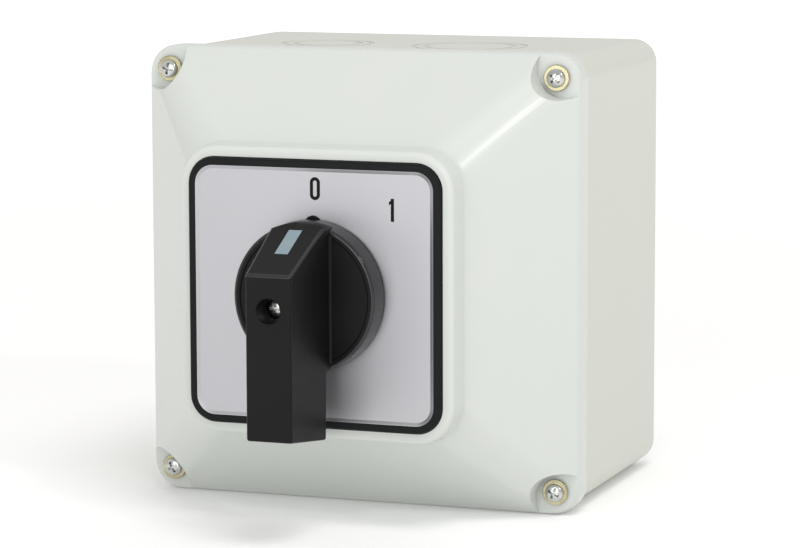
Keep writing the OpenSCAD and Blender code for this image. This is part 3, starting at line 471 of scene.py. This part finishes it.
# %% Handle
DISC_R, DISC_TOP_R = 25.0, 24.4
Y_DISC = handle_high.y
Y_DISC_FACE = Y_DISC - 8.1
Y_LEVER = handle_low.y
SLOPE_Y = Y_DISC_FACE - 3.5
LEVER_W, LEVER_HIGH, LEVER_LOW, HEEL = 15.5, 11.5, 42.0, 3.4
DRAFT = math.radians(3.1)
NECK_Z = -23.4
WELL_R = 4.0
Y_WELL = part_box("handle_washer")[1].y / MM
SLOPE_DROP = DISC_TOP_R - LEVER_HIGH
SLOPE_ANGLE = math.atan2(SLOPE_DROP, SLOPE_Y - Y_LEVER)
SLOPE_MORE = 2.5
ROOT_SIZE, ROOT_REACH = 0.5, 21
MARK_W, MARK_L, MARK_T = 4.6, 14.2, 0.8
# Slot 1 is the glossy nylon whose lighter colour is a painted highlight.
SATIN, POLISHED_PAINTED_SHEEN = 0, 1


def two_slots(piece):
    """Makes room for the satin finish and the polished one with its painted highlight, which are built later.
    """
    for slot in (SATIN, POLISHED_PAINTED_SHEEN):
        piece.data.materials.append(None)


def model_disc():
    disc = rod("handle_grip", DISC_R, Y_DISC, Y_DISC_FACE, front_radius=DISC_TOP_R, points=128)
    two_slots(disc)
    activate(disc)
    bpy.ops.object.mode_set(mode="EDIT")
    pick(disc, "FACE", on_plane(Y_DISC_FACE))
    bpy.ops.mesh.inset(thickness=2.0 * MM)
    bpy.ops.mesh.inset(thickness=0.4 * MM, depth=-0.3 * MM)
    bpy.ops.object.mode_set(mode="OBJECT")
    # The rounded rim and the side of the disc take the polished nylon, whose lighter colour is a painted
    # highlight there.
    rim = lambda v: abs(v.y - Y_DISC_FACE) < 0.02 and math.hypot(v.x, v.z) > DISC_TOP_R - 0.1
    round_edges(disc, rim, 0.9, 4, POLISHED_PAINTED_SHEEN)
    round_edges(disc, on_plane(Y_DISC), 0.4, 2)
    for face in disc.data.polygons:
        if abs(face.normal.y) < 0.2 and math.hypot(face.center.x, face.center.z) > (DISC_TOP_R - 1) * MM:
            face.material_index = POLISHED_PAINTED_SHEEN
    return disc


def model_lever():
    lever = block("lever", (-LEVER_W / 2, Y_LEVER, -LEVER_LOW - HEEL), (LEVER_W / 2, SLOPE_Y, DISC_TOP_R))
    two_slots(lever)
    activate(lever)
    bpy.ops.object.mode_set(mode="EDIT")
    spread = 1 + 2 * (SLOPE_Y - Y_LEVER) * math.tan(DRAFT) / LEVER_W
    pick(lever, "VERT", on_plane(SLOPE_Y))
    bpy.ops.transform.resize(value=(spread, 1, 1), center_override=(0, 0, 0))
    pick(lever, "VERT", lambda v: v.y < Y_LEVER + 1 and v.z > 0)
    bpy.ops.transform.translate(value=mm(0, 0, -SLOPE_DROP))
    pick(lever, "VERT", lambda v: v.y > SLOPE_Y - 1 and v.z > 0)
    bpy.ops.transform.translate(value=mm(0, SLOPE_MORE, SLOPE_MORE * math.tan(SLOPE_ANGLE)))
    pick(lever, "VERT", lambda v: v.y < Y_LEVER + 1 and v.z < 0)
    bpy.ops.transform.translate(value=mm(0, 0, HEEL))
    bpy.ops.mesh.select_all(action="SELECT")
    bpy.ops.mesh.bisect(plane_co=mm(0, 0, NECK_Z), plane_no=(0, 0, 1))
    pick(lever, "FACE", lambda v: v.y > SLOPE_Y - 0.02 and v.z > NECK_Z - 0.02)
    bpy.ops.mesh.extrude_region_move(TRANSFORM_OT_translate={"value": mm(0, 4.5, 0)})
    bpy.ops.mesh.select_all(action="SELECT")
    bpy.ops.mesh.normals_make_consistent(inside=False)
    bpy.ops.object.mode_set(mode="OBJECT")
    edge = lever.modifiers.new("moulded edges", "BEVEL")
    edge.width = 0.8 * MM
    edge.segments = 4
    edge.limit_method = "ANGLE"
    edge.angle_limit = math.radians(20)
    edge.material = POLISHED_PAINTED_SHEEN
    bpy.ops.object.modifier_apply(modifier=edge.name)
    # Only the rounded edges along the top of the lever keep the polished nylon: its lighter colour is a
    # painted highlight where the light from above falls.
    for face in lever.data.polygons:
        if face.center.z < (LEVER_HIGH - 1) * MM:
            face.material_index = SATIN
    return lever


def root_bars():
    """Two bars laid cornerwise in the angles between lever and disc, for a small chamfer at the root."""
    half = LEVER_W / 2 + (SLOPE_Y - Y_LEVER) * math.tan(DRAFT)
    bars = []
    for side in (-1, 1):
        bar = block("root_bar", (-ROOT_SIZE, -ROOT_SIZE, -ROOT_REACH), (ROOT_SIZE, ROOT_SIZE, ROOT_REACH))
        activate(bar)
        bar.rotation_euler = (0, 0, math.radians(45))
        bar.location = mm(side * half, Y_DISC_FACE, 0)
        bpy.ops.object.transform_apply(location=True, rotation=True, scale=True)
        two_slots(bar)
        bars.append(bar)
    return bars


def on_slope(piece):
    """Lays a piece that was modelled flat at the origin on the lever's slope."""
    activate(piece)
    piece.rotation_euler = (SLOPE_ANGLE, 0, 0)
    piece.location = mm(0, SLOPE_Y, DISC_TOP_R)
    bpy.ops.object.transform_apply(location=True, rotation=True, scale=True)
    return piece


def mark_block(name, gap, depth, proud):
    """The indicator's outline on the slope, grown by a gap, from a depth up to how far it stands proud."""
    start = -0.1 * math.hypot(SLOPE_DROP, SLOPE_Y - Y_LEVER)
    return on_slope(block(name, (-MARK_W / 2 - gap, start - MARK_L - gap, -depth),
                          (MARK_W / 2 + gap, start + gap, proud)))


def model_handle():
    reach = rod("reach", DISC_R - 0.1, Y_DISC, Y_LEVER - 1, points=128)
    combine(reach, [block("below", (-LEVER_W, Y_LEVER - 1, -2 * LEVER_LOW), (LEVER_W, Y_DISC, 0))], "UNION")
    disc = combine(model_disc(), [combine(model_lever(), [reach], "INTERSECT")], "UNION")
    combine(disc, root_bars(), "UNION")
    moulded_hollow = rod("moulded_hollow", DISC_R - 2.5, Y_DISC + 1, Y_DISC_FACE + 2.5, points=96)
    combine(moulded_hollow, [rod("boss", 11, Y_DISC + 2, Y_DISC_FACE)])
    cuts = [moulded_hollow, mark_block("mark_seat", 0.05, MARK_T, 1),
            rod("screw_well", WELL_R, Y_WELL, Y_LEVER - 1),
            rod("screw_hole", 2.2, Y_WELL + 6, Y_WELL - 1),
            block("square_hole", (-4.05, Y_WELL + 5, -4.05), (4.05, Y_DISC + 1, 4.05)),
            block("lever_core", (-5.25, Y_LEVER + 2.5, -LEVER_LOW + 2.5), (5.25, SLOPE_Y + 1, -26.9))]
    combine(disc, cuts)
    mouth = lambda v: abs(v.y - Y_LEVER) < 0.02 and math.hypot(v.x, v.z) < WELL_R + 0.05
    round_edges(disc, mouth, 0.35, 3)
    return disc


handle = smooth(model_handle())
indicator = mark_block("indicator_insert", 0, MARK_T, 0.04)
round_edges(indicator, lambda v: True, 0.12, 2)
smooth(indicator)
measure(handle)
measure(indicator)

# %% [markdown]
# ## The screws
# The four lid screws are flanged pan heads: a flat collar with a domed middle and a cross recess. One screw
# is modelled with insets that rise in steps, like a turned dome, and then copied. Each copy is turned to its
# own angle, because no fitter leaves four recesses lined up.

# %% Screws
LID_HEAD_R, LID_DOME_R = 4.4, 3.1


def dome(screw, radius, y, height, steps=4):
    """In edit mode, raises the front face of a round head into a dome with insets that follow an arc."""
    pick(screw, "FACE", on_plane(y))
    turned = [math.radians(90 * step / steps) for step in range(steps + 1)]
    for low, high in zip(turned[:-1], turned[1:]):
        bpy.ops.mesh.inset(thickness=radius * (math.cos(low) - math.cos(high)) * 0.92 * MM,
                           depth=height * (math.sin(high) - math.sin(low)) * MM)


def recess_cutter(radius, y, depth):
    """Two crossed blades with tapered ends, as the driver's bit has."""
    blades = []
    for size in ((0.7 * radius, 0.15 * radius), (0.15 * radius, 0.7 * radius)):
        blade = block("blade", (-size[0], y, -size[1]), (size[0], y + depth, size[1]))
        activate(blade)
        bpy.ops.object.mode_set(mode="EDIT")
        pick(blade, "VERT", on_plane(y + depth))
        bpy.ops.transform.resize(value=(0.6, 1, 0.6), center_override=(0, 0, 0))
        bpy.ops.object.mode_set(mode="OBJECT")
        blades.append(blade)
    return combine(blades[0], [blades[1]], "UNION")


def model_screw(name, seat, dome_r, dome_h, shank_r, length, collar_r=0.0, collar_h=0.0):
    """A pan-head screw on the axis: its head stands forward of the seat, and its shank runs back from it."""
    top = seat - collar_h
    screw = rod(name, dome_r, seat + 0.01, top - 0.45 * dome_h, points=40)
    activate(screw)
    bpy.ops.object.mode_set(mode="EDIT")
    dome(screw, dome_r, top - 0.45 * dome_h, 0.55 * dome_h)
    bpy.ops.object.mode_set(mode="OBJECT")
    parts = [rod("shank", shank_r, seat + length, seat - 0.2, points=32)]
    if collar_r:
        collar = rod("collar", collar_r, seat, top, points=56)
        round_edges(collar, on_plane(top), 0.4 * collar_h, 3)
        round_edges(collar, on_plane(seat), 0.2 * collar_h, 2)
        parts.append(collar)
    combine(screw, parts, "UNION")
    return combine(screw, [recess_cutter(dome_r, seat - collar_h - dome_h - 0.05, 0.75 * dome_h)])


def place_copy(screw, name, x, z, turn):
    """A copy of a screw with its own mesh, turned about its axis and moved to its hole."""
    copy = bpy.data.objects.new(name, screw.data.copy())
    bpy.context.scene.collection.objects.link(copy)
    copy.data.transform(Matrix.Translation(mm(x, 0, z)) @ Matrix.Rotation(math.radians(turn), 4, "Y"))
    return copy


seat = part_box("lid_screw_seals")[0].y / MM
pattern = smooth(model_screw("lid_screw_pattern", seat, LID_DOME_R, 1.9, 2.5, 20, LID_HEAD_R, 0.7))
places = [("top_left", -1, 1, 12), ("top_right", 1, 1, 38), ("bottom_left", -1, -1, 61),
          ("bottom_right", 1, -1, 25)]
lid_screws = [place_copy(pattern, f"lid_screw_{where}", x * SCREW_X, z * SCREW_X, turn)
              for where, x, z, turn in places]
bpy.data.objects.remove(pattern)
washer_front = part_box("handle_washer")[0].y / MM
handle_screw = smooth(model_screw("handle_fixing_screw", washer_front, 3.5, 2.4, 1.95, 14))
measure(lid_screws[0])
measure(handle_screw)

# %% [markdown]
# ## Materials
# Every finish is made of nodes that read Object coordinates, so a pattern has its real size on each piece and
# stays put when a joint moves. One function adds a node and one turns a hex colour into the linear values
# that the shader wants. All the finishes below are built from those two.

# %% Node and colour helpers


def colour(code):
    """An sRGB hex colour as linear RGBA."""
    parts = [int(code[i:i + 2], 16) / 255 for i in (1, 3, 5)]
    return (*[c / 12.92 if c <= 0.04045 else ((c + 0.055) / 1.055) ** 2.4 for c in parts], 1)


def add_node(tree, kind, inputs, **settings):
    """Adds one node. Each socket gets a value, or the output socket of another node to link."""
    node = tree.nodes.new(kind)
    for name, value in settings.items():
        setattr(node, name, value)
    for name, value in inputs.items():
        if isinstance(value, bpy.types.NodeSocket):
            tree.links.new(value, node.inputs[name])
        else:
            node.inputs[name].default_value = value
    return node


def start_finish(name, values):
    """A material with a shader, whose uniform values are set on its own sockets, and Object coordinates."""
    material = bpy.data.materials.new(name)
    material.use_nodes = True
    tree = material.node_tree
    tree.nodes.clear()
    shader = add_node(tree, "ShaderNodeBsdfPrincipled", values)
    add_node(tree, "ShaderNodeOutputMaterial", {"Surface": shader.outputs["BSDF"]})
    place = add_node(tree, "ShaderNodeTexCoord", {}).outputs["Object"]
    return material, tree, shader, place


def surface(name, tones, drift_mm, grain_mm, depth_mm, gloss, values, stretch=(1, 1, 1)):
    """A finish of three patterns: slow drift between two tones, the same drift in the gloss, fine grain.

    Stretch lays the grain along an axis, as drawing or brushing does. Gloss is the range of roughness.
    """
    material, tree, shader, place = start_finish(name, values)
    slow = {"Vector": place, "Scale": 1 / (drift_mm * MM), "Detail": 1.0}
    drift = add_node(tree, "ShaderNodeTexNoise", slow)
    spread = {"Value": drift.outputs["Fac"], "From Min": 0.15, "From Max": 0.85}
    share = add_node(tree, "ShaderNodeMapRange", spread, interpolation_type="SMOOTHSTEP").outputs["Result"]
    tone = {"Factor": share, "A": colour(tones[0]), "B": colour(tones[1])}
    mix = add_node(tree, "ShaderNodeMix", tone, data_type="RGBA")
    tree.links.new(mix.outputs["Result"], shader.inputs["Base Color"])
    rough = add_node(tree, "ShaderNodeMapRange", {"Value": share, "To Min": gloss[0], "To Max": gloss[1]})
    tree.links.new(rough.outputs["Result"], shader.inputs["Roughness"])
    laid = add_node(tree, "ShaderNodeMapping", {"Vector": place, "Scale": stretch}).outputs["Vector"]
    fine = {"Vector": laid, "Scale": 1 / (grain_mm * MM), "Detail": 2.0}
    grain = add_node(tree, "ShaderNodeTexNoise", fine)
    relief = add_node(tree, "ShaderNodeBump", {"Height": grain.outputs["Fac"], "Distance": depth_mm * MM})
    tree.links.new(relief.outputs["Normal"], shader.inputs["Normal"])
    return material


# %% [markdown]
# ### Moulded plastics and rubber
# A moulded part copies the texture of its steel tool: a spark-eroded tool leaves an even grain of tenths of a
# millimetre, and a polished one leaves almost none. The colour is mixed into the melt, so it only drifts
# slightly over centimetres.

# %% Moulded finishes
PLASTIC = {"IOR": 1.5}
DULL_PLASTIC = {"IOR": 1.5, "Specular IOR Level": 0.15}
RUBBER = {"IOR": 1.52, "Specular IOR Level": 0.35}
# ABS from a finely etched tool: soft highlights and a hint of green in the grey.
lid_abs = surface("light_grey_abs", ("#caceca", "#cbcfca"), 20, 0.5, 0.004, (0.25, 0.26), PLASTIC)
# The box came from another batch of the same ABS, a shade warmer.
box_abs = surface("light_grey_abs_warm", ("#c7c9c0", "#c8cac1"), 20, 0.5, 0.004, (0.32, 0.33), PLASTIC)
# Glass-filled nylon: a dense black with a dull satin skin and a fine grain.
handle_nylon = surface("black_glass_filled_nylon", ("#0e0e0f", "#141415"), 25, 0.4, 0.012, (0.34, 0.44),
                       DULL_PLASTIC)
# The same nylon where the tool was polished, on the disc's side and along the edges of the lever's slope. Its
# lower roughness and stronger specular are the polish, and its lighter colour there is a painted highlight.
polished_nylon_painted_sheen = surface("polished_black_nylon_painted_sheen", ("#1b1b1d", "#242426"), 12, 0.5, 0.003, (0.16, 0.24),
                         PLASTIC)
# ABS for the frame round the dial, a little greyer than the handle.
frame_abs = surface("charcoal_abs", ("#0d0f10", "#141617"), 20, 0.35, 0.01, (0.38, 0.5), DULL_PLASTIC)
# Nitrile rubber for gaskets and lip seals: matt, with a faint bloom.
seal_rubber = surface("nitrile_rubber", ("#151515", "#242423"), 6, 0.3, 0.02, (0.7, 0.85), RUBBER)
# Melamine moulding compound for the switch stages: warm grey, slightly mottled by its filler.
stage_melamine = surface("melamine_compound", ("#bfb9a8", "#c7c2b2"), 8, 0.4, 0.015, (0.45, 0.6), PLASTIC)
# Acetal for the detent and its carriers: waxy black.
detent_acetal = surface("black_acetal", ("#1c1d1e", "#29292a"), 12, 0.3, 0.006, (0.28, 0.36), PLASTIC)
# Acetal for the cams, dyed brick red.
cam_acetal = surface("brick_red_acetal", ("#9c3523", "#b5482f"), 14, 0.3, 0.006, (0.3, 0.4), PLASTIC)
# Natural nylon for the plungers: ivory and waxy.
plunger_nylon = surface("natural_nylon", ("#ddd6c2", "#ebe6d8"), 10, 0.3, 0.006, (0.35, 0.45), PLASTIC)
# Glossy ABS for the insert that shows where the handle points: pale blue-grey.
mark_abs = surface("pale_blue_grey_abs", ("#7e9099", "#81949c"), 5, 0.4, 0.003, (0.22, 0.3), PLASTIC)
# Screen-printing ink: black, and slightly thin in places.
print_ink = surface("screen_printing_ink", ("#040404", "#0b0b0b"), 1.5, 0.25, 0.004, (0.4, 0.55),
                    DULL_PLASTIC)

# %% [markdown]
# ### Metals
# Plated and drawn metals have no colour of their own under the gloss: the shader is fully metallic. The tone,
# the lay of the drawing marks and the unevenness of the plating tell them apart.

# %% Metal finishes
METAL = {"Metallic": 1.0}
ALONG_Y, ALONG_X = (4, 0.3, 4), (0.3, 3, 3)
# Yellow-passivated zinc on the screw collars: a pale straw gold, uneven as the dip leaves it.
gold_zinc = surface("yellow_passivated_zinc", ("#aaa281", "#c3bd9d"), 2.5, 0.3, 0.006, (0.2, 0.32), METAL)
# Bright zinc where the driver has polished the head.
bright_zinc = surface("bright_zinc_plate", ("#b9bab8", "#d9dad8"), 2.0, 0.25, 0.006, (0.16, 0.28), METAL)
# Zinc plate on the screws that clamp the switch to the lid, darkened to nearly black as a painted shade for
# the dark gap under the handle's disc, with a dull shine.
zinc_darkened_as_painted_shade = surface("zinc_plate_painted_shade", ("#1c1c1e", "#2b2b2d"), 2.0, 0.25, 0.006, (0.3, 0.4), METAL)
# Cut brass for the inserts and the earth block, with turning marks round the bore.
cut_brass = surface("machined_brass", ("#b08b3e", "#cfae63"), 6, 0.3, 0.006, (0.2, 0.32), METAL, (1, 4, 1))
# Cold-drawn steel for the square shaft and the rollers, with marks along its length.
drawn_steel = surface("cold_drawn_steel", ("#8f9194", "#b4b6b9"), 8, 0.3, 0.005, (0.25, 0.38), METAL, ALONG_Y)
# Hard-drawn spring wire, oiled and darker.
spring_wire = surface("hard_drawn_spring_wire", ("#6d6f72", "#94969a"), 3, 0.3, 0.004, (0.25, 0.35), METAL)
# Copper alloy strip for the contacts, with a light tarnish and rolling marks.
contact_copper = surface("contact_copper_alloy", ("#b0703f", "#d39a68"), 5, 0.3, 0.005, (0.24, 0.4), METAL,
                         ALONG_X)
# Aluminium sheet for the dial, blasted before it was anodised, so its sheen is even and soft.
dial_anodised = surface("anodised_aluminium", ("#b3b3b7", "#b8b8bd"), 30, 0.3, 0.006, (0.42, 0.5), METAL)

# %% [markdown]
# ## Putting the finishes on
# The imported nodes that keep their shape get a finish in their own slots. The new pieces take theirs, replace
# their node and ride on its body.

# %% Finishes on the imported nodes
FINISHES = {
    "enclosure_grey": lid_abs, "brass": cut_brass, "zinc_plated_steel": bright_zinc,
    "seal_rubber": seal_rubber, "frame_black": frame_abs, "dial_aluminium": dial_anodised,
    "numeral_ink": print_ink, "handle_black": handle_nylon, "indicator_white": mark_abs,
    "shaft_steel": drawn_steel, "switch_body": stage_melamine, "detent_black": detent_acetal,
    "cam_red": cam_acetal, "plunger_ivory": plunger_nylon, "contact_copper": contact_copper,
    "spring_steel": spring_wire,
}
slot_of = {part["node"]: part["material_slot"] for part in frame["record"]["subparts"]}
# The dial screws take the darkened zinc, whose near-black colour is painted shade.
for name, node in frame["nodes"].items():
    for place in node.material_slots:
        place.material = zinc_darkened_as_painted_shade if name == "dial_screws" else FINISHES[slot_of[name]]
print("finishes on", len(frame["nodes"]), "nodes")

# %% New pieces on their bodies


def fit_piece(piece, node, body, *finishes):
    """Gives a new piece its finishes and its place in the mechanism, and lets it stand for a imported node."""
    slots = piece.data.materials
    while len(slots) < len(finishes):
        slots.append(None)
    for number, finish in enumerate(finishes):
        slots[number] = finish
    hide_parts(node)
    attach(piece, body)


def two_metals(screw, middle_r, x, z):
    """Shows bright metal on the middle of a screw head, where the driver has worn the yellow plating off."""
    points = screw.data.vertices
    for face in screw.data.polygons:
        reach = max(math.hypot(points[i].co.x / MM - x, points[i].co.z / MM - z) for i in face.vertices)
        face.material_index = int(reach < middle_r + 0.05)


fit_piece(lid, "lid", "lid_set", lid_abs)
fit_piece(box, "base_box", "enclosure", box_abs)
fit_piece(tray, "dial_frame", "lid_set", frame_abs)
fit_piece(plate, "dial_plate", "lid_set", dial_anodised)
fit_piece(handle, "handle", "rotor", handle_nylon, polished_nylon_painted_sheen)
fit_piece(indicator, "indicator", "rotor", mark_abs)
fit_piece(handle_screw, "handle_screw", "rotor", bright_zinc)
for screw, (where, x, z, turn) in zip(lid_screws, places):
    fit_piece(screw, "lid_screws", "lid_set", gold_zinc, bright_zinc)
    two_metals(screw, LID_DOME_R, x * SCREW_X, z * SCREW_X)

# %% [markdown]
# ## Light, floor and camera
# A pale floor that runs far behind the part, an even sky and three soft boxes. The broad one high on the
# right shapes the slopes and is kept out of the reflections, so that only the small ridge lamp is mirrored
# there and draws a narrow line down the lid's ridge. The third one fills the front. The floor glows a little,
# more so further off, so that it fades into the sky.

# %% Studio
world = bpy.data.worlds.new("even_sky")
world.use_nodes = True
world.node_tree.nodes["Background"].inputs["Color"].default_value = colour("#fffefc")
world.node_tree.nodes["Background"].inputs["Strength"].default_value = 0.74
bpy.context.scene.world = world
bpy.context.scene.view_settings.view_transform = "Standard"


def soft_box(name, where, size, power):
    """A square soft light that faces the part."""
    light = bpy.data.lights.new(name, "AREA")
    light.size, light.energy = size, power
    lamp = bpy.data.objects.new(name, light)
    lamp.location = where
    lamp.rotation_euler = (Vector((0, -0.1, 0)) - Vector(where)).to_track_quat("-Z", "Y").to_euler()
    bpy.context.scene.collection.objects.link(lamp)
    return lamp


key_box = soft_box("key_box", (0.62, -0.7, 1.9), 0.8, 14)
key_box.visible_glossy = False
soft_box("ridge_lamp", (1.38, -1.02, 1.12), 0.15, 4)
soft_box("front_box", (-0.1, -2.3, 0.1), 1.2, 14)

clear_selection()
bpy.ops.mesh.primitive_plane_add(size=16, location=(0, 0, cad_box[0].z))
floor = bpy.context.object
floor.name = "studio_floor"
floor_finish = surface("matt_white_paper", ("#f3f3f3", "#f6f6f6"), 900, 1.0, 0.01, (0.85, 0.95),
                       {"Emission Color": colour("#ffffff")})
floor.data.materials.append(floor_finish)
tree = floor_finish.node_tree
shader = tree.nodes["Principled BSDF"]
place = add_node(tree, "ShaderNodeTexCoord", {}).outputs["Object"]
far = add_node(tree, "ShaderNodeVectorMath", {0: place}, operation="LENGTH").outputs["Value"]
glow = {"Value": far, "From Min": 0.25, "From Max": 2.5, "To Min": 0.1, "To Max": 0.45}
brighter = add_node(tree, "ShaderNodeMapRange", glow)
tree.links.new(brighter.outputs["Result"], shader.inputs["Emission Strength"])

# %% Camera
AZIMUTH, ELEVATION, ROLL = math.radians(20.04), math.radians(7.83), math.radians(-0.163)
AIM = mm(13.745, -96.5, 1.666)
DISTANCE = 1.13375
lens = bpy.data.cameras.new("product_lens")
lens.lens, lens.sensor_width, lens.sensor_fit = 151.25, 36.0, "HORIZONTAL"
lens.clip_end = 50
camera = bpy.data.objects.new("camera", lens)
bpy.context.scene.collection.objects.link(camera)
back = Vector((math.sin(AZIMUTH) * math.cos(ELEVATION), -math.cos(AZIMUTH) * math.cos(ELEVATION),
               math.sin(ELEVATION)))
turn = back.to_track_quat("Z", "Y").to_matrix().to_4x4() @ Matrix.Rotation(ROLL, 4, "Z")
camera.matrix_world = Matrix.Translation(AIM + back * DISTANCE) @ turn
bpy.context.scene.camera = camera
print("camera at", [round(c, 3) for c in camera.matrix_world.translation])
